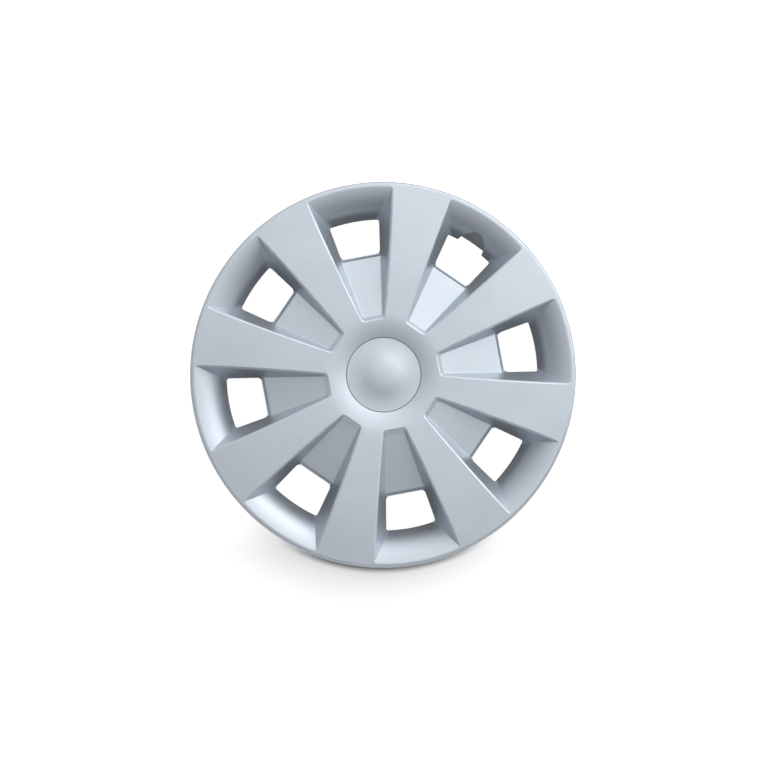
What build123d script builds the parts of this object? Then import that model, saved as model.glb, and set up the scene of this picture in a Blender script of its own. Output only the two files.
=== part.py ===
from build123d import *
from math import asin, atan2, cos, hypot, radians, sin, sqrt, tan
import os

os.makedirs("parts", exist_ok=True)

# Clip-on wheel cover for a 15 inch steel wheel, in millimetres.
# The Z axis is the wheel axis, +Z faces away from the car, Z = 0 is the plane where the skirt
# meets the wheel rim, and +Y runs through the valve notch.

# Overall sizes
COVER_RADIUS = 197.0
CREST_HEIGHT = 21.0
RIM_HEIGHT = 11.73
LEG_DEPTH = 29.0
SPOKES = 8
VALVE_ANGLE = 90.0
WALL = 2.5
SKIRT_WALL = 2.6
RIM_ROUND = 3.4

# Hub: the face falls from a crest ring to the cap, in one arc
CAP_RADIUS = 37.9
CAP_GAP = 0.5
CREST_BAND = 23.6
HUB_ARC = 68.0
SEAT_DEPTH = 3.4
SEAT_LAND = 7.9

# Pocket plan, from the rim inward
RIM_LAND = 5.6
WALL_RUN = 26.8
LIP_RUN = 4.6
WINDOW_LENGTH = 36.8
SILL = 0.6
APRON_RUN = 2.6
HUB_BAND = 18.2
END_RUN = 4.0
POCKET_HALF_ANGLE = 9.5
WINDOW_SIDE_STEP = 0.2

# Pocket depths and roundings
END_DROP = 4.4
PANEL_FOOT = 1.45
APRON_DROP = 4.2
WALL_FOOT = -10.2
LIP_DROP = 7.4
LIP_SPARE = 1.0
POCKET_DRAFT = 27.0
EDGE_ROUND = 2.2
CORNER_ROUND = 3.0
END_ROUND = 3.6
FOLD_ROUND = 1.8
FLOOR_ROUND = 1.4
WINDOW_INNER_CORNER = 4.5
WINDOW_OUTER_CORNER = 2.4

# Valve notch: a flared cut in the lip and a scoop in the wall behind it
NOTCH_WIDTH = 26.4
NOTCH_FLARE = 18.0
NOTCH_MARGIN = 0.2
SCOOP_REACH = 10.9
SCOOP_ROUND = 22.0
SCOOP_SLOPE = 56.0
SCOOP_DEPTH = 8.2
SCOOP_LAP = 0.6

# Centre cap
CAP_SHELL = 2.0
CAP_CROWN = 4.6
CAP_SUNK = 0.3
CAP_RIM = 2.5
CAP_LAND = 0.9
CAP_BEVEL = 0.4
CAP_HOOKS = 4
CAP_HOOK_ANGLE = 32.0
HOOK_WALL = 2.2
HOOK_GAP = 0.4
HOOK_CATCH = 1.8
HOOK_PLAY = 0.3
HOOK_NOSE = 2.8
HOOK_LAND = 0.8

# Retention ring
WIRE_RADIUS = 2.0
WIRE_GAP = 0.2
WIRE_OPENING = 12.0
WIRE_BEND = 6.0
WIRE_TAIL = 5.0

# Legs that hold the ring, with the wall and ribs that stiffen the back
LEG_INSET = 21.0
LEG_WIDTH = 23.0
LEG_THICK = 3.0
LEG_PROUD = 0.3
TIP_LENGTH = 2.7
TIP_BEVEL = 0.8
NOSE_REACH = 4.6
NOSE_RISE = 6.5
NOSE_LAND = 2.0
GUSSET = 2.2
GUSSET_INSET = 3.4
GUSSET_REACH = 8.0
GUSSET_FOOT = -3.0
CRADLE_WIDTH = 9.0
CRADLE_DEPTH = 4.6
CRADLE_LIP = 1.3
CRADLE_WALL = 1.5
RING_WALL = 2.4
RING_WALL_FOOT = -6.0
RIB = 2.0
RIB_DEPTH = 7.0

# How far cutting tools run past the faces they cut
OVERRUN = 8.0
# Smallest rounding left where a thick wall follows a tight bend
SHARP_ROUND = 0.4

# Places that follow from the sizes above
PITCH = 360.0 / SPOKES
RECESS = CAP_RADIUS + CAP_GAP
HUB_BORE = CAP_RADIUS - SEAT_LAND
CREST_RADIUS = RECESS + CREST_BAND
FACE_FALL = CREST_HEIGHT - RIM_HEIGHT
SPOKE_ARC = ((COVER_RADIUS - CREST_RADIUS) ** 2 + FACE_FALL**2) / (2 * FACE_FALL)
MOUTH_RADIUS = COVER_RADIUS - RIM_LAND
WALL_RADIUS = MOUTH_RADIUS - WALL_RUN
WINDOW_OUTER = WALL_RADIUS - LIP_RUN
WINDOW_INNER = WINDOW_OUTER - WINDOW_LENGTH
NOTCH_RADIUS = WALL_RADIUS - NOTCH_MARGIN
WELL_START = WINDOW_INNER - SILL
LIP_START = WINDOW_OUTER - LIP_RUN
PANEL_END = WELL_START - APRON_RUN
END_TOP = RECESS + HUB_BAND
END_FOOT = END_TOP + END_RUN
PANEL_TOP = CREST_HEIGHT - END_DROP
PANEL_FALL = (PANEL_TOP - PANEL_FOOT) / (PANEL_END - END_FOOT)
LEG_FOOT = -LEG_DEPTH
CRADLE_TOP = LEG_FOOT + TIP_LENGTH + CRADLE_DEPTH
WIRE_HEIGHT = CRADLE_TOP + WIRE_GAP + WIRE_RADIUS
LEG_INNER = COVER_RADIUS - LEG_INSET
WIRE_RING_RADIUS = LEG_INNER - WIRE_GAP - WIRE_RADIUS
BELOW = LEG_FOOT - OVERRUN


def front_height(radius, inset=0.0):
    """Height of the front face at a radius, on a face moved in by inset."""
    arc = HUB_ARC if radius < CREST_RADIUS else SPOKE_ARC
    return CREST_HEIGHT - arc + sqrt((arc - inset) ** 2 - (radius - CREST_RADIUS) ** 2)


SEAT_HEIGHT = front_height(RECESS) - SEAT_DEPTH
WALL_LEAN = WALL_RUN / (front_height(MOUTH_RADIUS) - WALL_FOOT)
LIP_LEAN = LIP_RUN / LIP_DROP


def on_xz(points):
    """Points given as radius and height, laid on the XZ plane."""
    return [Vector(radius, 0, height) for radius, height in points]


def plate(points):
    """Flat face on the XZ plane from points given as radius and height."""
    return make_face(Polyline(*on_xz(points), close=True))


def web(section, width):
    """Plate of a given width cut from a section on the XZ plane, evenly to both sides of it."""
    return extrude(section, width / 2, dir=(0, 1, 0), both=True)


def turned(section, seam=PITCH / 2):
    """Solid of revolution about the wheel axis, with its seam turned out of the way."""
    return Rot(0, 0, seam) * revolve(section, Axis.Z)


def around(tool, start=0.0, count=SPOKES):
    """Copies of a tool spaced evenly about the wheel axis."""
    return [Rot(0, 0, start + 360.0 / count * i) * tool for i in range(count)]


def pocket_side(grow, hand):
    """Drafted side plane through one long edge of the floor panel; its normal leaves the pocket."""
    fall = atan2(PANEL_FALL, 1.0)
    draft = radians(POCKET_DRAFT)
    spread = tan(radians(POCKET_HALF_ANGLE))
    splay = atan2(cos(fall) * spread, 1.0)
    up = Vector(sin(fall), 0, cos(fall))
    along = Vector(cos(fall) * cos(splay), sin(splay), -sin(fall) * cos(splay))
    out = up.cross(along) * cos(draft) - up * sin(draft)
    foot = Vector(END_FOOT, END_FOOT * spread, PANEL_TOP) + out * grow
    return Plane(
        origin=(foot.X, hand * foot.Y, foot.Z),
        x_dir=(along.X, hand * along.Y, along.Z),
        z_dir=(out.X, hand * out.Y, out.Z),
    )


def floor_edges(body):
    """Edges of a pressing tool where the floor meets the sides and the inner end."""
    found = []
    for edge in body.edges():
        middle = edge @ 0.5
        run = abs((edge @ 0).X - (edge @ 1).X)
        at_side = abs(middle.Y) > middle.X * tan(radians(POCKET_HALF_ANGLE)) / 2 and run > SILL
        at_end = abs(middle.X - END_FOOT) < SILL
        if middle.Z < PANEL_TOP + SILL and middle.X < LIP_START and (at_side or at_end):
            found.append(edge)
    return found


def pocket_tool(grow=0.0):
    """Pressing tool for one pocket along +X; grown, it gives the back of the pocket walls."""
    end_lean = END_RUN / (front_height(END_TOP) - PANEL_TOP)
    well_foot = PANEL_FOOT - APRON_DROP
    well_fall = (well_foot - WALL_FOOT) / (WALL_RADIUS - WELL_START)
    lip_foot = WALL_FOOT - LIP_DROP - LIP_SPARE
    top = CREST_HEIGHT + OVERRUN
    far = COVER_RADIUS + OVERRUN
    section = plate(
        [
            (END_FOOT - (top - PANEL_TOP) * end_lean, top),
            (END_FOOT, PANEL_TOP),
            (PANEL_END, PANEL_FOOT),
            (WELL_START, well_foot),
            (LIP_START, WALL_FOOT + well_fall * (WALL_RADIUS - LIP_START)),
            (LIP_START, lip_foot),
            (far, lip_foot),
            (far, top),
        ]
    )
    if grow:
        section = offset(section, grow, kind=Kind.INTERSECTION)
    body = web(section, COVER_RADIUS)
    for hand in (1, -1):
        body = split(body, bisect_by=pocket_side(grow, hand), keep=Keep.BOTTOM)

    # the outer wall is a cone down to a knee, then a steeper lip runs to the window
    upper = WALL_RADIUS + grow * hypot(1, WALL_LEAN)
    lower = WALL_RADIUS + grow * hypot(1, LIP_LEAN)
    knee = (lower - upper) / (WALL_LEAN - LIP_LEAN)
    low = BELOW
    high = top + OVERRUN
    bowl = plate(
        [
            (0, low),
            (lower + LIP_LEAN * (low - WALL_FOOT), low),
            (upper + WALL_LEAN * knee, WALL_FOOT + knee),
            (upper + WALL_LEAN * (high - WALL_FOOT), high),
            (0, high),
        ]
    )
    body = body & turned(bowl, 180)

    # soften the upright corners, the fold above the window and, on the front, the edges of the floor
    rising = [edge for edge in body.edges() if abs((edge @ 0).Z - (edge @ 1).Z) > OVERRUN]
    body = fillet(sorted(rising, key=lambda edge: (edge @ 0.5).X)[-2:], CORNER_ROUND + grow)
    rising = [edge for edge in body.edges() if abs((edge @ 0).Z - (edge @ 1).Z) > OVERRUN]
    body = fillet(sorted(rising, key=lambda edge: (edge @ 0.5).X)[:2], END_ROUND + grow)
    fold = body.edges().filter_by(Axis.Y).sort_by(Axis.X)[2]
    body = fillet([fold], max(FOLD_ROUND - grow, SHARP_ROUND))
    if not grow:
        body = fillet(floor_edges(body), FLOOR_ROUND)
    return body


def face_section(inset, outside):
    """Section under the front face moved in by inset; outside closes it from the skirt downward."""
    recess = RECESS + inset
    rounding = max(RIM_ROUND - inset, SHARP_ROUND)
    rim = COVER_RADIUS - (SKIRT_WALL if inset else 0.0)
    # the rim rounding is tangent to the spoke arc from inside and to the skirt
    round_r = rim - rounding
    reach = SPOKE_ARC - inset - rounding
    round_z = CREST_HEIGHT - SPOKE_ARC + sqrt(reach**2 - (round_r - CREST_RADIUS) ** 2)
    lean = asin((round_r - CREST_RADIUS) / reach)
    half = radians(45) + lean / 2
    shoulder = (round_r + rounding * sin(lean), round_z + rounding * cos(lean))
    crown = (round_r + rounding * sin(half), round_z + rounding * cos(half))
    lip = (recess, front_height(recess, inset))
    mid_hub = (recess + CREST_RADIUS) / 2
    mid_spoke = (CREST_RADIUS + shoulder[0]) / 2
    spots = on_xz(
        [
            lip,
            (mid_hub, front_height(mid_hub, inset)),
            (CREST_RADIUS, CREST_HEIGHT - inset),
            (mid_spoke, front_height(mid_spoke, inset)),
            shoulder,
            crown,
            (rim, round_z),
        ]
    )
    seat = SEAT_HEIGHT - inset
    rest = [(rim, round_z)] + outside + [(0, BELOW), (0, seat), (recess, seat), lip]
    return make_face(
        [
            ThreePointArc(spots[0], spots[1], spots[2]),
            ThreePointArc(spots[2], spots[3], spots[4]),
            ThreePointArc(spots[4], spots[5], spots[6]),
            Polyline(*on_xz(rest)),
        ]
    )


def scoop_tool(grow=0.0):
    """Slanted half-round relief for the valve in the outer wall of a pocket along +X."""
    slope = radians(SCOOP_SLOPE)
    radius = WALL_RADIUS + SCOOP_REACH
    height = WALL_FOOT + SCOOP_REACH / WALL_LEAN
    axis = Plane(
        origin=(radius - SCOOP_ROUND * sin(slope), 0, height + SCOOP_ROUND * cos(slope)),
        x_dir=(0, 1, 0),
        z_dir=(cos(slope), 0, sin(slope)),
    )
    groove = axis * Cylinder(SCOOP_ROUND + grow, 2 * (SCOOP_ROUND + OVERRUN))
    # it stops just inside the notch, clear of the window and of the pocket's sides
    return split(groove, Plane.YZ.offset(NOTCH_RADIUS - SCOOP_LAP), keep=Keep.TOP)


def window_cut():
    """Window through the floor of a pocket along +X."""
    spread = radians(POCKET_HALF_ANGLE - WINDOW_SIDE_STEP)
    inner = WINDOW_INNER * tan(spread)
    corner = (WINDOW_OUTER * cos(spread), WINDOW_OUTER * sin(spread))
    outline = make_face(
        [
            Polyline((corner[0], -corner[1]), (WINDOW_INNER, -inner), (WINDOW_INNER, inner), corner),
            ThreePointArc(corner, (WINDOW_OUTER, 0), (corner[0], -corner[1])),
        ]
    )
    outline = fillet(outline.vertices().sort_by(Axis.X)[:2], WINDOW_INNER_CORNER)
    outline = fillet(outline.vertices().sort_by(SortBy.DISTANCE)[-2:], WINDOW_OUTER_CORNER)
    return Pos(0, 0, BELOW) * extrude(outline, CREST_HEIGHT - BELOW)


def notch_cut():
    """Notch for the valve in the lip of a pocket along +X, a little wider at the window."""
    start = LIP_START
    narrow = NOTCH_WIDTH / 2
    wide = narrow + (NOTCH_RADIUS - start) * tan(radians(NOTCH_FLARE))
    outline = [(NOTCH_RADIUS, -narrow), (NOTCH_RADIUS, narrow), (start, wide), (start, -wide)]
    wedge = extrude(make_face(Polyline(*outline, close=True)), LEG_DEPTH, both=True)
    return wedge & Cylinder(NOTCH_RADIUS, 2 * LEG_DEPTH)


def mouth_edges(body):
    """Edges where the pocket walls meet the front face."""
    found = []
    for edge in body.edges():
        spots = [edge @ 0, edge @ 0.5, edge @ 1]
        radii = [hypot(spot.X, spot.Y) for spot in spots]
        inside = RECESS + WALL < min(radii) and max(radii) < MOUTH_RADIUS + RIM_LAND / 4
        on_crest = all(abs(radius - CREST_RADIUS) < 0.01 for radius in radii)
        if inside and not on_crest:
            if all(abs(spot.Z - front_height(radius)) < 0.02 for spot, radius in zip(spots, radii)):
                found.append(edge)
    return found


def leg():
    """Spring leg along +X: a blade with a nose, two gussets over the wire and a cradle under it."""
    outer = LEG_INNER + LEG_THICK
    core = LEG_INNER + LEG_THICK / 2
    throat = LEG_INNER - 2 * (WIRE_RADIUS + WIRE_GAP)
    lip = throat - CRADLE_WALL
    wire_top = WIRE_HEIGHT + WIRE_RADIUS + WIRE_GAP
    blade = plate(
        [
            (LEG_INNER, CREST_HEIGHT),
            (outer, CREST_HEIGHT),
            (outer, WIRE_HEIGHT + NOSE_RISE),
            (outer + NOSE_REACH, WIRE_HEIGHT + NOSE_LAND / 2),
            (outer + NOSE_REACH, WIRE_HEIGHT - NOSE_LAND / 2),
            (outer - TIP_BEVEL, LEG_FOOT),
            (LEG_INNER + TIP_BEVEL, LEG_FOOT),
            (LEG_INNER, LEG_FOOT + 2 * TIP_BEVEL),
        ]
    )
    gusset = plate(
        [
            (core, CREST_HEIGHT),
            (LEG_INNER - GUSSET_REACH, CREST_HEIGHT),
            (LEG_INNER - GUSSET_REACH, GUSSET_FOOT),
            (throat, wire_top),
            (core, wire_top),
        ]
    )
    cradle = plate(
        [
            (core, CRADLE_TOP),
            (throat, CRADLE_TOP),
            (throat, CRADLE_TOP + CRADLE_LIP),
            (lip, CRADLE_TOP + CRADLE_LIP),
            (lip, CRADLE_TOP - CRADLE_WALL),
            (core, CRADLE_TOP - CRADLE_DEPTH),
        ]
    )
    body = web(blade, LEG_WIDTH) + web(cradle, CRADLE_WIDTH)
    for hand in (1, -1):
        body = body + Pos(0, hand * (LEG_WIDTH / 2 - GUSSET_INSET), 0) * web(gusset, GUSSET)
    return body


def ring_wall():
    """Round wall behind the pockets that the legs grow out of."""
    inner = LEG_INNER + LEG_PROUD
    outer = inner + RING_WALL
    foot = RING_WALL_FOOT
    return turned(plate([(inner, CREST_HEIGHT), (outer, CREST_HEIGHT), (outer, foot), (inner, foot)]))


def spoke_rib():
    """Stiffening rib under one spoke along +X; its foot keeps one depth below the spoke."""
    inner = RECESS + WALL
    stop = LEG_INNER + LEG_PROUD + RING_WALL / 2
    seat = SEAT_HEIGHT - WALL
    spots = [
        Vector(radius, 0, front_height(radius, WALL) - RIB_DEPTH)
        for radius in (CREST_RADIUS, (CREST_RADIUS + stop) / 2, stop)
    ]
    back = on_xz([(stop, CREST_HEIGHT), (RECESS, CREST_HEIGHT), (RECESS, seat), (inner + WALL, seat)])
    return web(make_face([ThreePointArc(*spots), Polyline(spots[2], *back, spots[0])]), RIB)


def wheel_cover():
    """The moulding: pressed front less a hollow back that leaves pockets, ribs and legs standing."""
    at_valve = Rot(0, 0, VALVE_ANGLE)
    between = VALVE_ANGLE + PITCH / 2
    front = turned(face_section(0.0, [(COVER_RADIUS, BELOW)]))
    front = front - around(pocket_tool(), VALVE_ANGLE)
    front = fillet(mouth_edges(front), EDGE_ROUND)
    front = front - at_valve * scoop_tool()

    # everything below the skirt's back edge and under the wall belongs to the hollow
    clear = COVER_RADIUS + OVERRUN
    floor = BELOW - OVERRUN
    skirt = [(COVER_RADIUS - SKIRT_WALL, 0), (clear, 0), (clear, floor), (0, floor)]
    hollow = turned(face_section(WALL, skirt))
    hollow = hollow - around(pocket_tool(WALL), VALVE_ANGLE)
    chute = split(scoop_tool(WALL), Plane.XY.offset(WALL_FOOT - SCOOP_DEPTH), keep=Keep.TOP)
    hollow = hollow - at_valve * chute
    hollow = hollow - ring_wall()
    hollow = hollow - around(spoke_rib(), between)
    hollow = hollow - around(leg(), between)
    body = front - hollow

    body = body - around(window_cut(), VALVE_ANGLE)
    body = body - Pos(0, 0, SEAT_HEIGHT) * Cylinder(HUB_BORE, 2 * OVERRUN)
    return body - at_valve * notch_cut()


def centre_cap():
    """Round cap with a low bell-shaped crown, a rim that rests on the hub seat and snap hooks."""
    edge = SEAT_HEIGHT + SEAT_DEPTH - CAP_SUNK
    top = edge + CAP_CROWN
    flat = CAP_RADIUS - CAP_LAND
    rim = CAP_RADIUS - CAP_RIM
    # two equal arcs make the bell, and they meet halfway out and halfway down
    turn = 2 * atan2(CAP_CROWN, flat)
    bell = flat / 2 / sin(turn)

    def convex(angle, shell):
        """Point of the crown's inner arc, shell below the top face."""
        radius = bell - shell
        return Vector(radius * sin(angle), 0, top - bell + radius * cos(angle))

    def concave(angle, shell):
        """Point of the crown's outer arc, shell below the top face."""
        radius = bell + shell
        return Vector(flat - radius * sin(angle), 0, edge + bell - radius * cos(angle))

    last = asin((flat - rim) / (bell + CAP_SHELL))
    half = (turn + last) / 2
    outside = on_xz(
        [
            (CAP_RADIUS - CAP_BEVEL, edge),
            (CAP_RADIUS, edge - CAP_BEVEL),
            (CAP_RADIUS, SEAT_HEIGHT),
            (rim, SEAT_HEIGHT),
        ]
    )
    section = make_face(
        [
            ThreePointArc(convex(0, 0), convex(turn / 2, 0), convex(turn, 0)),
            ThreePointArc(concave(turn, 0), concave(turn / 2, 0), concave(0, 0)),
            Polyline(concave(0, 0), *outside, concave(last, CAP_SHELL)),
            ThreePointArc(concave(last, CAP_SHELL), concave(half, CAP_SHELL), concave(turn, CAP_SHELL)),
            ThreePointArc(convex(turn, CAP_SHELL), convex(turn / 2, CAP_SHELL), convex(0, CAP_SHELL)),
            Line(convex(0, CAP_SHELL), convex(0, 0)),
        ]
    )
    body = turned(section, 0)

    # snap hooks that reach through the bore and catch under the seat
    face = HUB_BORE - HOOK_GAP
    back = face - HOOK_WALL
    root = edge - CAP_SHELL / 2
    catch = SEAT_HEIGHT - WALL - HOOK_PLAY
    tip = catch - HOOK_LAND - HOOK_NOSE
    hook = plate(
        [
            (back, root),
            (face, root),
            (face, catch),
            (face + HOOK_CATCH, catch),
            (face + HOOK_CATCH, catch - HOOK_LAND),
            (face - HOOK_GAP, tip),
            (back, tip),
        ]
    )
    prong = Rot(0, 0, -CAP_HOOK_ANGLE / 2) * revolve(hook, Axis.Z, CAP_HOOK_ANGLE)
    for piece in around(prong, PITCH / 2, CAP_HOOKS):
        body = body + piece
    return body


def retention_ring():
    """Open ring of spring wire, its two tails bent toward the axis on either side of the valve."""
    first = radians(VALVE_ANGLE + WIRE_OPENING)
    last = radians(VALVE_ANGLE - WIRE_OPENING)

    def tail(angle, side):
        """Points of one bent end: tip, end of the bend, middle of the bend, start of the ring."""
        out = Vector(cos(angle), sin(angle), 0)
        toward = Vector(sin(angle), -cos(angle), 0) * side
        centre = out * (WIRE_RING_RADIUS - WIRE_BEND)
        bent = centre + toward * WIRE_BEND
        middle = centre + (toward + out).normalized() * WIRE_BEND
        return bent - out * WIRE_TAIL, bent, middle, out * WIRE_RING_RADIUS

    tip, bent, middle, start = tail(first, 1)
    far_tip, far_bent, far_middle, far_start = tail(last, -1)
    opposite = radians(VALVE_ANGLE + 180)
    round_point = Vector(cos(opposite), sin(opposite), 0) * WIRE_RING_RADIUS
    path = Wire(
        [
            Line(tip, bent),
            ThreePointArc(bent, middle, start),
            ThreePointArc(start, round_point, far_start),
            ThreePointArc(far_start, far_middle, far_bent),
            Line(far_bent, far_tip),
        ]
    )
    profile = Plane(origin=path @ 0, z_dir=path % 0) * Circle(WIRE_RADIUS)
    return Pos(0, 0, WIRE_HEIGHT) * sweep(profile, path)


export_step(wheel_cover(), "parts/wheel_cover.step")
export_step(centre_cap(), "parts/centre_cap.step")
export_step(retention_ring(), "parts/retention_ring.step")
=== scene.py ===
from math import cos, radians, sin

import bpy
import numpy as np
from bpy.props import FloatProperty, FloatVectorProperty, PointerProperty
from mathutils import Matrix, Vector


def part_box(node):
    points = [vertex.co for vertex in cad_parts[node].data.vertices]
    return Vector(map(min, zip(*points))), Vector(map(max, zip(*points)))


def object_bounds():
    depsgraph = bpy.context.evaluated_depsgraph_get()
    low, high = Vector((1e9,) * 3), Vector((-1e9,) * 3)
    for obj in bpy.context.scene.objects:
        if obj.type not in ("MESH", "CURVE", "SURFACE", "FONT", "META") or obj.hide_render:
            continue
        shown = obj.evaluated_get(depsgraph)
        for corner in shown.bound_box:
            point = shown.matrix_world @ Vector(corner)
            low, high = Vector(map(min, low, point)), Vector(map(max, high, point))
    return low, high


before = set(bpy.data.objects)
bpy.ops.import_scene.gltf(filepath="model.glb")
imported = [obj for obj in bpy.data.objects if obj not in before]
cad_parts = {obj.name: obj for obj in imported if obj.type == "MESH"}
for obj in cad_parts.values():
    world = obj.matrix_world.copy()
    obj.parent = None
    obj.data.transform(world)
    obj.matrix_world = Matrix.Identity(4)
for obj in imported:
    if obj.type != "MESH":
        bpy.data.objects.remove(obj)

bl_info = {
    "name": "Wheel Cover Looks",
    "version": (1, 0, 0),
    "blender": (4, 5, 0),
    "location": "3D View > Sidebar > Wheel Cover",
    "description": "Finishes of a clip-on wheel cover, with its stage, light and camera",
    "category": "Object",
}

CAD_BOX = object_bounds()
PHOTO_SIDE = 768
SENSOR_WIDTH = 36.0
CLIP_END = 100.0

# where the values of a noise mostly lie, where the spray's mist starts and is full, and how fine
# and rough the noise of the mist and the plastic is
NOISE_LOW = 0.3
NOISE_HIGH = 0.7
MIST_STEP = (0.35, 0.65)
FINE_DETAIL = 3.0
MOULD_ROUGHNESS = 0.6

# strength of the reliefs, of which their depths are the full heights
PEEL_STRENGTH = 0.35
GRAIN_STRENGTH = 0.25
LINE_STRENGTH = 0.4

# share of a face's normal toward +Z, from the start to the end of a soft step
FRONT_FACING = (0.02, 0.14)
DUST_FACING = (-0.35, 0.05)
SKIRT_FACING = (-0.5, -0.2)
ROUNDING_FACING = (0.55, 0.92)
WALL_FACING = (0.60, 0.70)

# share of a face's normal away from the axis, for walls that lean in toward the hub
WALL_LEAN = (-0.34, -0.16)

# sine of the steepest tilt that a rolled wall takes
STEEPEST_ROLL = 0.9

# distances over which the paint and the roll start, in metres
SPRAY_FADE = 0.002
SKIRT_FADE = 0.0004
FOOT_FADE = (0.006, 0.003)

# rings of the floor: radii in metres at which a soft step starts and ends
BACK_LIGHT_RING = (0.075, 0.090)
WINDOWS_INSIDE = (0.105, 0.115)
WINDOWS_OUTSIDE = (0.170, 0.180)
# ring of the painted shade under the part
SHADED_FLOOR = (0.170, 0.190)
MIRRORED_FLOOR = (0.190, 0.250)
# ring of the painted shadow close to the rim
CONTACT_RING = (0.1975, 0.2065)

# steps across the floor, in metres along the picture's up
# where the painted shadow fades, along the picture's up
CONTACT_FOOT = (-0.195, -0.165)
WHITE_FLOOR = (-0.190, -0.120)

# patches of light: turn in the picture from its right, tilt from straight above, and power
SKY = (radians(75), radians(30), 3.0)
WINDOW = (radians(40), radians(75), 8.0)

# height of a light ray's end, on a ball of radius 1, where the light near the horizon fades
HORIZON_FADE = (0.05, 0.30)


class CoverFinish(bpy.types.PropertyGroup):
    """Paint of the front and bare plastic of the back."""

    paint: FloatVectorProperty(
        name="Paint",
        description="Colour of the silver paint",
        subtype="COLOR",
        size=3,
        min=0.0,
        max=1.0,
        default=(0.600, 0.659, 0.723),
    )
    plastic: FloatVectorProperty(
        name="Plastic",
        description="Colour of the unpainted moulding",
        subtype="COLOR",
        size=3,
        min=0.0,
        max=1.0,
        default=(0.165, 0.168, 0.172),
    )
    paint_roughness: FloatProperty(
        name="Paint Roughness",
        description="Roughness of the paint",
        subtype="FACTOR",
        min=0.05,
        max=0.95,
        default=0.41,
    )
    metal_share: FloatProperty(
        name="Metal Share",
        description="Share of the paint that mirrors light as metal flakes do",
        subtype="FACTOR",
        min=0.0,
        max=1.0,
        default=0.7,
    )
    flake_size: FloatProperty(
        name="Flake Size",
        description="Width of the grains in the paint",
        unit="LENGTH",
        min=0.0001,
        default=0.0006,
    )
    flake_tone: FloatProperty(
        name="Flake Tone",
        description="How far the flakes and their grain are lighter or darker than the paint",
        subtype="FACTOR",
        min=0.0,
        max=1.0,
        default=0.03,
    )
    cloud_size: FloatProperty(
        name="Cloud Size",
        description="Width of the faint clouds where the spray gun passed",
        unit="LENGTH",
        min=0.001,
        default=0.045,
    )
    cloud_tone: FloatProperty(
        name="Cloud Tone",
        description="How far the clouds are lighter or darker than the paint",
        subtype="FACTOR",
        min=0.0,
        max=1.0,
        default=0.03,
    )
    peel_size: FloatProperty(
        name="Peel Size",
        description="Width of the waves that the dried paint keeps",
        unit="LENGTH",
        min=0.0005,
        default=0.004,
    )
    relief_depth: FloatProperty(
        name="Relief Depth",
        description="Depth of the waves of the paint and of the mould's grain",
        unit="LENGTH",
        min=0.0,
        default=0.00006,
    )
    grain_depth: FloatProperty(
        name="Grain Depth",
        description="Depth of the flake grain",
        unit="LENGTH",
        min=0.0,
        default=0.00002,
    )
    roughness_spread: FloatProperty(
        name="Roughness Spread",
        description="How far the paint's roughness goes up and down with the grain",
        subtype="FACTOR",
        min=0.0,
        max=0.5,
        default=0.04,
    )
    coat: FloatProperty(
        name="Clear Coat",
        description="Share of clear coat on the paint",
        subtype="FACTOR",
        min=0.0,
        max=1.0,
        default=0.25,
    )
    coat_roughness: FloatProperty(
        name="Clear Coat Roughness",
        description="Roughness of the clear coat",
        subtype="FACTOR",
        min=0.0,
        max=1.0,
        default=0.28,
    )
    mist_size: FloatProperty(
        name="Mist Size",
        description="Width of the specks of spray dust behind the edges",
        unit="LENGTH",
        min=0.0002,
        default=0.0014,
    )
    dust_share: FloatProperty(
        name="Dust Share",
        description="Largest share of paint in the spray dust",
        subtype="FACTOR",
        min=0.0,
        max=1.0,
        default=0.55,
    )
    flow_size: FloatProperty(
        name="Flow Size",
        description="Width of the flow marks in the bare plastic",
        unit="LENGTH",
        min=0.001,
        default=0.03,
    )
    flow_tone: FloatProperty(
        name="Flow Tone",
        description="How far the flow marks are lighter or darker than the plastic",
        subtype="FACTOR",
        min=0.0,
        max=1.0,
        default=0.1,
    )
    mould_size: FloatProperty(
        name="Mould Grain Size",
        description="Width of the grain that the mould leaves on the bare plastic",
        unit="LENGTH",
        min=0.0001,
        default=0.0009,
    )
    mould_tone: FloatProperty(
        name="Mould Grain Tone",
        description="How far the mould's grain is lighter or darker than the plastic",
        subtype="FACTOR",
        min=0.0,
        max=1.0,
        default=0.08,
    )
    bare_smooth: FloatProperty(
        name="Smoothest Plastic",
        description="Roughness of the bare plastic between the grains",
        subtype="FACTOR",
        min=0.0,
        max=1.0,
        default=0.52,
    )
    bare_dull: FloatProperty(
        name="Dullest Plastic",
        description="Roughness of the bare plastic on the grains",
        subtype="FACTOR",
        min=0.0,
        max=1.0,
        default=0.66,
    )
    spray_depth: FloatProperty(
        name="Spray Depth",
        description="Height at the foot of the pockets where the spray runs out",
        unit="LENGTH",
        default=-0.0175,
    )
    wall_foot: FloatProperty(
        name="Wall Foot",
        description="Radius of the foot of the pockets' outer walls",
        unit="LENGTH",
        min=0.0,
        default=0.1646,
    )
    roll_crest: FloatProperty(
        name="Roll Crest",
        description="Radius at which the outer walls of the pockets lie flat",
        unit="LENGTH",
        min=0.0,
        default=0.1985,
    )
    roll_radius: FloatProperty(
        name="Roll Radius",
        description="Radius on which the outer walls of the pockets roll over",
        unit="LENGTH",
        min=0.01,
        default=0.039,
    )
    # painted shade: radius outside which the silver on the rim's rounding is darkened
    rim_shade_edge: FloatProperty(
        name="Rim Edge",
        description="Radius outside which the paint is thinner on the rounding of the rim",
        unit="LENGTH",
        min=0.0,
        default=0.1940,
    )
    # painted shade: lightness left to the darkened silver on the rim's rounding
    rim_shade_tone: FloatProperty(
        name="Thin Tone",
        description="Lightness of the thin paint on the rounding of the rim",
        subtype="FACTOR",
        min=0.0,
        max=1.0,
        default=0.72,
    )
    skirt_depth: FloatProperty(
        name="Skirt Depth",
        description="How far inside the rim the outer face of the skirt is still painted",
        unit="LENGTH",
        min=0.0,
        default=0.0008,
    )


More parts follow.
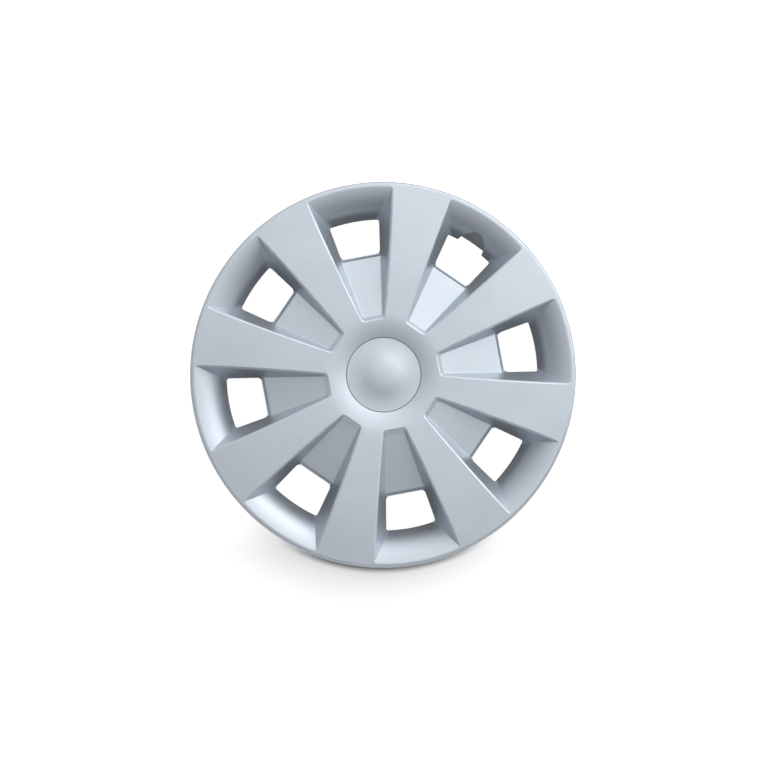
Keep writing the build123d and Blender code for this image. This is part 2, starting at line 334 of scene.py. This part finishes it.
class WireFinish(bpy.types.PropertyGroup):
    """Drawn spring steel of the retention ring."""

    steel: FloatVectorProperty(
        name="Steel",
        description="Colour of the spring wire",
        subtype="COLOR",
        size=3,
        min=0.0,
        max=1.0,
        default=(0.52, 0.52, 0.53),
    )
    line_width: FloatProperty(
        name="Line Width",
        description="Width of the drawing lines along the wire",
        unit="LENGTH",
        min=0.00005,
        default=0.0003,
    )
    line_stretch: FloatProperty(
        name="Line Stretch",
        description="Scale of the pattern along the wire, which draws the lines out",
        min=0.001,
        max=1.0,
        default=0.02,
    )
    line_depth: FloatProperty(
        name="Line Depth",
        description="Depth of the drawing lines",
        unit="LENGTH",
        min=0.0,
        default=0.00003,
    )
    line_tone: FloatProperty(
        name="Line Tone",
        description="How far the lines are lighter or darker than the steel",
        subtype="FACTOR",
        min=0.0,
        max=1.0,
        default=0.11,
    )
    oil_size: FloatProperty(
        name="Oil Size",
        description="Width of the patches in the oily tone",
        unit="LENGTH",
        min=0.001,
        default=0.02,
    )
    oil_tone: FloatProperty(
        name="Oil Tone",
        description="How far the patches are lighter or darker than the steel",
        subtype="FACTOR",
        min=0.0,
        max=1.0,
        default=0.08,
    )
    smoothest: FloatProperty(
        name="Smoothest",
        description="Roughness of the wire between the lines",
        subtype="FACTOR",
        min=0.0,
        max=1.0,
        default=0.26,
    )
    dullest: FloatProperty(
        name="Dullest",
        description="Roughness of the wire on the lines",
        subtype="FACTOR",
        min=0.0,
        max=1.0,
        default=0.42,
    )


class StageSettings(bpy.types.PropertyGroup):
    """Floor, light and the camera's place."""

    turn: FloatProperty(
        name="Turn",
        description="Turn of the picture's right hand from the X axis",
        subtype="ANGLE",
        default=radians(34.35),
    )
    yaw: FloatProperty(
        name="Yaw",
        description="Camera's swing to the picture's right, from straight above",
        subtype="ANGLE",
        default=radians(-2.21),
    )
    pitch: FloatProperty(
        name="Pitch",
        description="Camera's swing to the picture's top, from straight above",
        subtype="ANGLE",
        default=radians(-0.366),
    )
    distance: FloatProperty(
        name="Distance",
        description="From the wheel axis to the camera",
        unit="LENGTH",
        min=0.5,
        default=3.1366,
    )
    focal_pixels: FloatProperty(
        name="Focal Length",
        description="Focal length in pixels of the picture",
        min=100.0,
        default=3067.3,
    )
    shift_right: FloatProperty(
        name="Shift Right",
        description="Share of the picture's width by which the lens is moved to the right",
        default=0.0012,
    )
    shift_up: FloatProperty(
        name="Shift Up",
        description="Share of the picture's width by which the lens is moved up",
        default=-0.0119,
    )
    floor_colour: FloatVectorProperty(
        name="Floor",
        description="Colour of the floor",
        subtype="COLOR",
        size=3,
        min=0.0,
        max=1.0,
        default=(0.8, 0.8, 0.8),
    )
    floor_size: FloatProperty(
        name="Floor Size",
        description="Radius of the floor",
        unit="LENGTH",
        min=1.0,
        default=8.0,
    )
    floor_flat: FloatProperty(
        name="Flat Floor",
        description="Radius to which the floor is flat",
        unit="LENGTH",
        min=0.5,
        default=4.0,
    )
    floor_rise: FloatProperty(
        name="Floor Rise",
        description="Height of the backdrop at the outside of the floor",
        unit="LENGTH",
        min=0.0,
        default=1.5,
    )
    floor_glow: FloatProperty(
        name="Floor Glow",
        description="White that the floor adds to the light it gets",
        min=0.0,
        max=1.0,
        default=0.45,
    )
    open_glow: FloatProperty(
        name="Open Floor Glow",
        description="White that the floor adds away from the part's shadow",
        min=0.0,
        max=1.0,
        default=0.9,
    )
    # painted shadow: share of the floor's light and white left close to the rim
    contact_tone: FloatProperty(
        name="Contact Tone",
        description="Share of the floor's light that is left close to the rim, below the part",
        subtype="FACTOR",
        min=0.0,
        max=1.0,
        default=0.12,
    )
    # painted shade: share of the floor's colour left under the part
    covered_tone: FloatProperty(
        name="Covered Tone",
        description="Share of the floor's colour that is left under the part",
        subtype="FACTOR",
        min=0.0,
        max=1.0,
        default=0.05,
    )
    back_light: FloatProperty(
        name="Back Light",
        description="Light from the floor under the part, for its back",
        min=0.0,
        max=1.0,
        default=0.22,
    )
    ambient: FloatProperty(
        name="Ambient",
        description="Light that comes evenly from all sides",
        min=0.0,
        default=0.03,
    )
    sky_level: FloatProperty(
        name="Sky Level",
        description="Strength of the broad light from the picture's top",
        min=0.0,
        default=1.02,
    )
    window_level: FloatProperty(
        name="Window Level",
        description="Strength of the low light from the picture's right",
        min=0.0,
        default=1.92,
    )
    horizon: FloatProperty(
        name="Horizon",
        description="Share of the light that is left near the horizon and below it",
        subtype="FACTOR",
        min=0.0,
        max=1.0,
        default=0.2,
    )


def put(tree, kind, inputs=None, **settings):
    """Adds a node, sets its own settings, and fills its sockets with values or other sockets."""
    made = tree.nodes.new(kind)
    for key, value in settings.items():
        setattr(made, key, value)
    for key, value in (inputs or {}).items():
        if isinstance(value, bpy.types.NodeSocket):
            tree.links.new(value, made.inputs[key])
        else:
            made.inputs[key].default_value = value
    return made


def sums(tree, operation, first, second=0.0):
    """One sum of two numbers or sockets."""
    made = put(tree, "ShaderNodeMath", {0: first, 1: second}, operation=operation)
    return made.outputs[0]


def product(tree, *factors):
    """All factors multiplied."""
    total = factors[0]
    for factor in factors[1:]:
        total = sums(tree, "MULTIPLY", total, factor)
    return total


def ramp(tree, value, low, high, start=0.0, end=1.0, shape="SMOOTHSTEP"):
    """Start below low, end above high, and a rise between them."""
    ends = {"From Min": low, "From Max": high, "To Min": start, "To Max": end}
    made = put(tree, "ShaderNodeMapRange", {"Value": value, **ends}, interpolation_type=shape)
    return made.outputs["Result"]


def about_one(tree, value, spread, low=NOISE_LOW, high=NOISE_HIGH):
    """A noise value turned into a factor that stays within spread of one."""
    return ramp(tree, value, low, high, 1.0 - spread, 1.0 + spread, "LINEAR")


def with_noise(tree, value, start, end):
    """A number that goes from start to end with a noise value."""
    return ramp(tree, value, NOISE_LOW, NOISE_HIGH, start, end, "LINEAR")


def share_of(tree, factor, start, end):
    """A number that goes from start to end with a factor of 0 to 1."""
    return ramp(tree, factor, 0.0, 1.0, start, end, "LINEAR")


def bumps(tree, height, depth, strength, inputs=None):
    """Normal with the relief of a height socket."""
    look = {"Strength": strength, "Distance": depth, "Height": height}
    return put(tree, "ShaderNodeBump", {**look, **(inputs or {})}).outputs[0]


def between(tree, factor, first, second):
    """Number that goes from first to second with the factor."""
    return put(tree, "ShaderNodeMix", {0: factor, 2: first, 3: second}).outputs[0]


def blend_colour(tree, factor, first, second):
    """Colour that goes from first to second with the factor."""
    made = put(tree, "ShaderNodeMix", {0: factor, 6: first, 7: second}, data_type="RGBA")
    return made.outputs[2]


def tint(tree, colour, factor):
    """A plain colour made lighter or darker by a factor socket."""
    made = put(tree, "ShaderNodeVectorMath", {0: colour, "Scale": factor}, operation="SCALE")
    return made.outputs["Vector"]


def noise(tree, place, size, detail=2.0, roughness=0.5):
    """Cloudy noise of a grain size in metres."""
    look = {"Scale": 1.0 / size, "Detail": detail, "Roughness": roughness}
    return put(tree, "ShaderNodeTexNoise", {"Vector": place, **look}).outputs["Fac"]


def wheel_radius(tree, spot):
    """Distance from the wheel axis."""
    flat = put(tree, "ShaderNodeCombineXYZ", {"X": spot.outputs["X"], "Y": spot.outputs["Y"]})
    length = put(tree, "ShaderNodeVectorMath", {0: flat.outputs[0]}, operation="LENGTH")
    return length.outputs["Value"]


def new_material(name):
    """Empty node material and its tree."""
    material = bpy.data.materials.new(name)
    material.use_nodes = True
    material.node_tree.nodes.clear()
    return material, material.node_tree


def surface(tree, inputs):
    """Principled surface wired to the output."""
    shader = put(tree, "ShaderNodeBsdfPrincipled", inputs)
    put(tree, "ShaderNodeOutputMaterial", {"Surface": shader.outputs[0]})


def dress(node, material):
    """Gives a CAD node one material in place of its plain one."""
    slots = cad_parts[node].material_slots
    if not slots:
        raise RuntimeError(f"{node} has no material slot")
    for slot in slots:
        slot.material = material


def rolled_wall(tree, coords, spot, radius, look):
    """Normal that rolls the pockets' outer walls over toward the rim, as on a drawn bowl.

    The sine of the wall's tilt is its distance from the crest of the roll over the roll's radius.
    It holds where a face leans in toward the hub and isn't steep. Other faces keep their normals.
    """
    normal = coords.outputs["Normal"]
    outward = put(tree, "ShaderNodeCombineXYZ", {"X": spot.outputs["X"], "Y": spot.outputs["Y"]})
    outward = put(tree, "ShaderNodeVectorMath", {0: outward.outputs[0]}, operation="NORMALIZE")
    outward = outward.outputs[0]
    lean = put(tree, "ShaderNodeVectorMath", {0: normal, 1: outward}, operation="DOT_PRODUCT")
    facing = put(tree, "ShaderNodeSeparateXYZ", {0: normal}).outputs["Z"]
    wall = product(
        tree,
        ramp(tree, lean.outputs["Value"], *WALL_LEAN, 1.0, 0.0),
        ramp(tree, facing, *WALL_FACING),
        ramp(tree, radius, *(look.wall_foot - fade for fade in FOOT_FADE)),
    )
    crest = look.roll_crest
    steepest = crest - STEEPEST_ROLL * look.roll_radius
    sine = ramp(tree, radius, steepest, crest, STEEPEST_ROLL, 0.0, "LINEAR")
    cosine = sums(tree, "SQRT", sums(tree, "SUBTRACT", 1.0, product(tree, sine, sine)))
    inward = tint(tree, outward, sums(tree, "MULTIPLY", sine, -1.0))
    rise = put(tree, "ShaderNodeCombineXYZ", {"Z": cosine}).outputs[0]
    rolled = put(tree, "ShaderNodeVectorMath", {0: inward, 1: rise}, operation="ADD").outputs[0]
    mixed = put(tree, "ShaderNodeMix", {0: wall, 4: normal, 5: rolled}, data_type="VECTOR")
    turned = put(
        tree,
        "ShaderNodeVectorTransform",
        {0: mixed.outputs[1]},
        vector_type="NORMAL",
        convert_from="OBJECT",
        convert_to="WORLD",
    )
    return turned.outputs[0]


def painted_plastic(name, look, lowest, skirt):
    """Silver paint on what faces the front, bare plastic behind, spray dust on the edges between.

    Paint covers faces that look toward +Z above the height lowest, and what lies outside the
    radius skirt. On the rounding of the rim the silver is darkened as painted shade.
    """
    material, tree = new_material(name)
    coords = put(tree, "ShaderNodeTexCoord")
    place = coords.outputs["Object"]
    facing = put(tree, "ShaderNodeSeparateXYZ", {0: coords.outputs["Normal"]}).outputs["Z"]
    spot = put(tree, "ShaderNodeSeparateXYZ", {0: place})
    height = spot.outputs["Z"]
    radius = wheel_radius(tree, spot)

    # where the spray reached
    above = ramp(tree, height, lowest - SPRAY_FADE, lowest)
    front = product(tree, ramp(tree, facing, *FRONT_FACING), above)
    outside = ramp(tree, radius, skirt - SKIRT_FADE, skirt)
    rim = product(tree, outside, ramp(tree, facing, *SKIRT_FACING))
    mist = ramp(tree, noise(tree, place, look.mist_size, FINE_DETAIL), *MIST_STEP)
    dust = product(tree, ramp(tree, facing, *DUST_FACING, 0.0, look.dust_share), above, mist)
    cover = sums(tree, "MAXIMUM", sums(tree, "MAXIMUM", front, rim), dust)

    # paint: fine flake grain, broad faint clouds, and painted shade on the rounding of the rim
    flakes = put(tree, "ShaderNodeTexVoronoi", {"Vector": place, "Scale": 1.0 / look.flake_size})
    flake = put(tree, "ShaderNodeSeparateColor", {0: flakes.outputs["Color"]}).outputs[0]
    grain = noise(tree, place, look.flake_size * 2.0)
    clouds = noise(tree, place, look.cloud_size)
    # painted shade: the silver is darker where the rim's rounding turns steep
    edge = ramp(tree, radius, look.rim_shade_edge, look.rim_shade_edge + SKIRT_FADE)
    shaded = product(tree, edge, ramp(tree, facing, *ROUNDING_FACING, 1.0, 0.0))
    shade = product(
        tree,
        share_of(tree, shaded, 1.0, look.rim_shade_tone),
        about_one(tree, flake, look.flake_tone, 0.0, 1.0),
        about_one(tree, grain, look.flake_tone),
        about_one(tree, clouds, look.cloud_tone),
    )
    silver = tint(tree, look.paint, shade)

    # plastic: dull, with long flow marks and a fine grain from the mould
    flow = noise(tree, place, look.flow_size, FINE_DETAIL)
    mould = noise(tree, place, look.mould_size, FINE_DETAIL, MOULD_ROUGHNESS)
    shade = product(
        tree, about_one(tree, flow, look.flow_tone), about_one(tree, mould, look.mould_tone)
    )
    bare = tint(tree, look.plastic, shade)

    shiniest = look.paint_roughness - look.roughness_spread
    paint_rough = with_noise(tree, grain, shiniest, look.paint_roughness + look.roughness_spread)
    bare_rough = with_noise(tree, mould, look.bare_smooth, look.bare_dull)

    # relief: roll of the outer walls, then peel of the paint or grain of the mould, then the flakes
    rolled = rolled_wall(tree, coords, spot, radius, look)
    relief = between(tree, cover, mould, noise(tree, place, look.peel_size))
    relief = bumps(tree, relief, look.relief_depth, PEEL_STRENGTH, {"Normal": rolled})
    relief = bumps(tree, grain, look.grain_depth, GRAIN_STRENGTH, {"Normal": relief})
    surface(
        tree,
        {
            "Base Color": blend_colour(tree, cover, bare, silver),
            "Roughness": between(tree, cover, bare_rough, paint_rough),
            "Metallic": share_of(tree, cover, 0.0, look.metal_share),
            "Normal": relief,
            "Coat Weight": share_of(tree, cover, 0.0, look.coat),
            "Coat Roughness": look.coat_roughness,
        },
    )
    return material


def drawn_steel(name, look, ring_radius):
    """Spring wire with fine drawing lines along its length and a thin oily tone."""
    material, tree = new_material(name)
    place = put(tree, "ShaderNodeTexCoord").outputs["Object"]
    spot = put(tree, "ShaderNodeSeparateXYZ", {0: place})
    angle = sums(tree, "ARCTAN2", spot.outputs["Y"], spot.outputs["X"])
    along = sums(tree, "MULTIPLY", angle, ring_radius * look.line_stretch)
    across = {"X": along, "Y": wheel_radius(tree, spot), "Z": spot.outputs["Z"]}
    wrapped = put(tree, "ShaderNodeCombineXYZ", across).outputs[0]
    lines = noise(tree, wrapped, look.line_width)
    oil = noise(tree, place, look.oil_size)
    shade = product(tree, about_one(tree, lines, look.line_tone), about_one(tree, oil, look.oil_tone))
    surface(
        tree,
        {
            "Base Color": tint(tree, look.steel, shade),
            "Metallic": 1.0,
            "Roughness": with_noise(tree, lines, look.smoothest, look.dullest),
            "Normal": bumps(tree, lines, look.line_depth, LINE_STRENGTH),
        },
    )
    return material


def picture_axes(turn):
    """Right, up and toward-the-viewer of the picture, in the part's frame."""
    right = Vector((cos(turn), sin(turn), 0.0))
    up = Vector((-sin(turn), cos(turn), 0.0))
    return right, up, Vector((0.0, 0.0, 1.0))


def make_camera(stage):
    """Camera at the picture's angle, distance and framing."""
    right, up, toward = picture_axes(stage.turn)
    back = right * (sin(stage.yaw) * cos(stage.pitch))
    back += up * sin(stage.pitch)
    back += toward * (cos(stage.yaw) * cos(stage.pitch))
    side = right * cos(stage.yaw) - toward * sin(stage.yaw)
    spin = Matrix((side, back.cross(side), back)).transposed()
    camera = bpy.data.objects.new("camera", bpy.data.cameras.new("camera"))
    bpy.context.scene.collection.objects.link(camera)
    camera.matrix_world = Matrix.Translation(back * stage.distance) @ spin.to_4x4()
    camera.data.sensor_fit = "HORIZONTAL"
    camera.data.sensor_width = SENSOR_WIDTH
    camera.data.lens = stage.focal_pixels / PHOTO_SIDE * SENSOR_WIDTH
    camera.data.shift_x = stage.shift_right
    camera.data.shift_y = stage.shift_up
    camera.data.clip_end = CLIP_END
    bpy.context.scene.camera = camera


def floor_mesh(stage, level, rings=32, sides=96):
    """Round floor that curves up into a low backdrop at its outside.

    A point at share s and turn t lies at s squared times the size from the middle. Its height is
    the square of how far it lies between the flat part and the outside, times the rise.
    """
    share, turn = np.meshgrid(
        np.linspace(0, 1, rings + 1)[1:], np.arange(sides) / sides * 2 * np.pi, indexing="ij"
    )
    reach = (share**2 * stage.floor_size).ravel()
    turn = turn.ravel()
    past = np.clip((reach - stage.floor_flat) / (stage.floor_size - stage.floor_flat), 0, 1)
    height = level + stage.floor_rise * past**2
    verts = np.column_stack([reach * np.cos(turn), reach * np.sin(turn), height])
    verts = np.vstack([verts, [[0.0, 0.0, level]]])
    ring, side = np.meshgrid(np.arange(rings - 1), np.arange(sides), indexing="ij")
    inner = ring.ravel() * sides
    side = side.ravel()
    after = (side + 1) % sides
    outer = inner + sides
    quads = np.column_stack([inner + side, outer + side, outer + after, inner + after])
    step = np.arange(sides)
    fan = np.column_stack([np.full(sides, len(verts) - 1), step, (step + 1) % sides])
    mesh = bpy.data.meshes.new("floor")
    mesh.from_pydata(verts.tolist(), [], quads.tolist() + fan.tolist())
    return mesh


def floor_material(stage):
    """White under the windows; elsewhere lit by the surroundings, with the part's shadow on it."""
    material, tree = new_material("floor")
    place = put(tree, "ShaderNodeTexCoord").outputs["Object"]
    radius = wheel_radius(tree, put(tree, "ShaderNodeSeparateXYZ", {0: place}))
    up = picture_axes(stage.turn)[1]
    along = put(tree, "ShaderNodeVectorMath", {0: place, 1: up}, operation="DOT_PRODUCT")
    along = along.outputs["Value"]
    path = put(tree, "ShaderNodeLightPath").outputs
    mirrored = sums(tree, "MAXIMUM", path["Is Glossy Ray"], path["Is Transmission Ray"])
    mirrored = product(tree, mirrored, ramp(tree, radius, *MIRRORED_FLOOR), stage.floor_glow)

    # painted shadow below the part in the picture, darkest close to the rim, over the floor's real
    # shadow
    close = product(
        tree,
        ramp(tree, radius, *CONTACT_RING, 1.0, 0.0),
        ramp(tree, along, *CONTACT_FOOT, 1.0, 0.0),
    )
    painted_shadow = share_of(tree, close, 1.0, stage.contact_tone)
    # painted shade: the floor's colour is darker under the part
    shade = ramp(tree, radius, *SHADED_FLOOR, stage.covered_tone, 1.0)
    shade = tint(tree, stage.floor_colour, product(tree, shade, painted_shadow))
    diffuse = put(tree, "ShaderNodeBsdfDiffuse", {"Color": shade})

    # white for the camera and in mirrors, and a light under the part for its back
    white = product(tree, ramp(tree, along, *WHITE_FLOOR, stage.floor_glow, stage.open_glow), painted_shadow)
    under = product(
        tree, ramp(tree, radius, *WINDOWS_INSIDE), ramp(tree, radius, *WINDOWS_OUTSIDE, 1.0, 0.0)
    )
    seen = product(tree, path["Is Camera Ray"], sums(tree, "MAXIMUM", white, under))
    level = sums(tree, "ADD", seen, mirrored)
    level = sums(tree, "ADD", level, ramp(tree, radius, *BACK_LIGHT_RING, stage.back_light, 0.0))
    glow = put(tree, "ShaderNodeEmission", {"Strength": level})
    lit = put(tree, "ShaderNodeAddShader", {0: diffuse.outputs[0], 1: glow.outputs[0]})
    clear = put(tree, "ShaderNodeBsdfTransparent")
    behind = put(tree, "ShaderNodeNewGeometry").outputs["Backfacing"]
    mix = put(tree, "ShaderNodeMixShader", {0: behind, 1: lit.outputs[0], 2: clear.outputs[0]})
    put(tree, "ShaderNodeOutputMaterial", {"Surface": mix.outputs[0]})
    return material


def make_floor(stage):
    """Floor under the legs."""
    mesh = floor_mesh(stage, CAD_BOX[0].z)
    mesh.materials.append(floor_material(stage))
    floor = bpy.data.objects.new("floor", mesh)
    bpy.context.scene.collection.objects.link(floor)


def light_patch(tree, ray, turn, patch, level):
    """Soft patch of light: level times the power of half of one plus the cosine to its middle."""
    azimuth, tilt, power = patch
    right, up, toward = picture_axes(turn)
    middle = (right * cos(azimuth) + up * sin(azimuth)) * sin(tilt) + toward * cos(tilt)
    near = put(tree, "ShaderNodeVectorMath", {0: ray, 1: middle}, operation="DOT_PRODUCT")
    share = ramp(tree, near.outputs["Value"], -1.0, 1.0, 0.0, 1.0, "LINEAR")
    return sums(tree, "MULTIPLY", sums(tree, "POWER", share, power), level)


def make_world(stage):
    """Even light, a broad sky from the picture's top and a low window, both dim at the horizon."""
    world = bpy.data.worlds.new("studio")
    world.use_nodes = True
    tree = world.node_tree
    tree.nodes.clear()
    ray = put(tree, "ShaderNodeTexCoord").outputs["Generated"]
    sky = light_patch(tree, ray, stage.turn, SKY, stage.sky_level)
    window = light_patch(tree, ray, stage.turn, WINDOW, stage.window_level)
    rise = put(tree, "ShaderNodeSeparateXYZ", {0: ray}).outputs["Z"]
    shade = ramp(tree, rise, *HORIZON_FADE, stage.horizon, 1.0)
    level = product(tree, sums(tree, "ADD", sky, window), shade)
    level = sums(tree, "ADD", level, stage.ambient)
    back = put(tree, "ShaderNodeBackground", {"Color": (1.0, 1.0, 1.0, 1.0), "Strength": level})
    put(tree, "ShaderNodeOutputWorld", {"Surface": back.outputs[0]})
    bpy.context.scene.world = world


class PaintCover(bpy.types.Operator):
    """Paints the moulded cover"""

    bl_idname = "wheel_cover.paint_cover"
    bl_label = "Paint Cover"

    def execute(self, context):
        look = context.scene.cover_finish
        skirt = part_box("wheel_cover")[1].x - look.skirt_depth
        material = painted_plastic("silver_over_plastic", look, look.spray_depth, skirt)
        dress("wheel_cover", material)
        return {"FINISHED"}


class PaintCap(bpy.types.Operator):
    """Paints the centre cap"""

    bl_idname = "wheel_cover.paint_cap"
    bl_label = "Paint Cap"

    def execute(self, context):
        look = context.scene.cover_finish
        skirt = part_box("centre_cap")[1].x - look.skirt_depth
        dress("centre_cap", painted_plastic("silver_cap", look, 0.0, skirt))
        return {"FINISHED"}


class FinishRing(bpy.types.Operator):
    """Gives the retention ring its drawn steel"""

    bl_idname = "wheel_cover.finish_ring"
    bl_label = "Finish Ring"

    def execute(self, context):
        low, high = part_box("retention_ring")
        material = drawn_steel("spring_steel", context.scene.wire_finish, (high.x - low.x) / 2)
        dress("retention_ring", material)
        return {"FINISHED"}


class SetStage(bpy.types.Operator):
    """Sets the camera, the floor and the light"""

    bl_idname = "wheel_cover.set_stage"
    bl_label = "Set Stage"

    def execute(self, context):
        stage = context.scene.cover_stage
        make_camera(stage)
        make_floor(stage)
        make_world(stage)
        context.scene.view_settings.view_transform = "Standard"
        return {"FINISHED"}


class CoverPanel(bpy.types.Panel):
    """Runs the steps and shows their settings"""

    bl_idname = "VIEW3D_PT_wheel_cover"
    bl_label = "Wheel Cover"
    bl_space_type = "VIEW_3D"
    bl_region_type = "UI"
    bl_category = "Wheel Cover"

    def draw(self, context):
        for operator in STEPS:
            self.layout.operator(operator.bl_idname)
        scene = context.scene
        for settings in (scene.cover_finish, scene.wire_finish, scene.cover_stage):
            box = self.layout.box()
            for key in type(settings).__annotations__:
                box.prop(settings, key)


STEPS = (PaintCover, PaintCap, FinishRing, SetStage)
CLASSES = (CoverFinish, WireFinish, StageSettings, *STEPS, CoverPanel)


def register():
    for item in CLASSES:
        bpy.utils.register_class(item)
    bpy.types.Scene.cover_finish = PointerProperty(type=CoverFinish)
    bpy.types.Scene.wire_finish = PointerProperty(type=WireFinish)
    bpy.types.Scene.cover_stage = PointerProperty(type=StageSettings)


def unregister():
    del bpy.types.Scene.cover_stage
    del bpy.types.Scene.wire_finish
    del bpy.types.Scene.cover_finish
    for item in reversed(CLASSES):
        bpy.utils.unregister_class(item)


def main():
    register()
    bpy.ops.wheel_cover.paint_cover()
    bpy.ops.wheel_cover.paint_cap()
    bpy.ops.wheel_cover.finish_ring()
    bpy.ops.wheel_cover.set_stage()


if __name__ == "__main__":
    main()
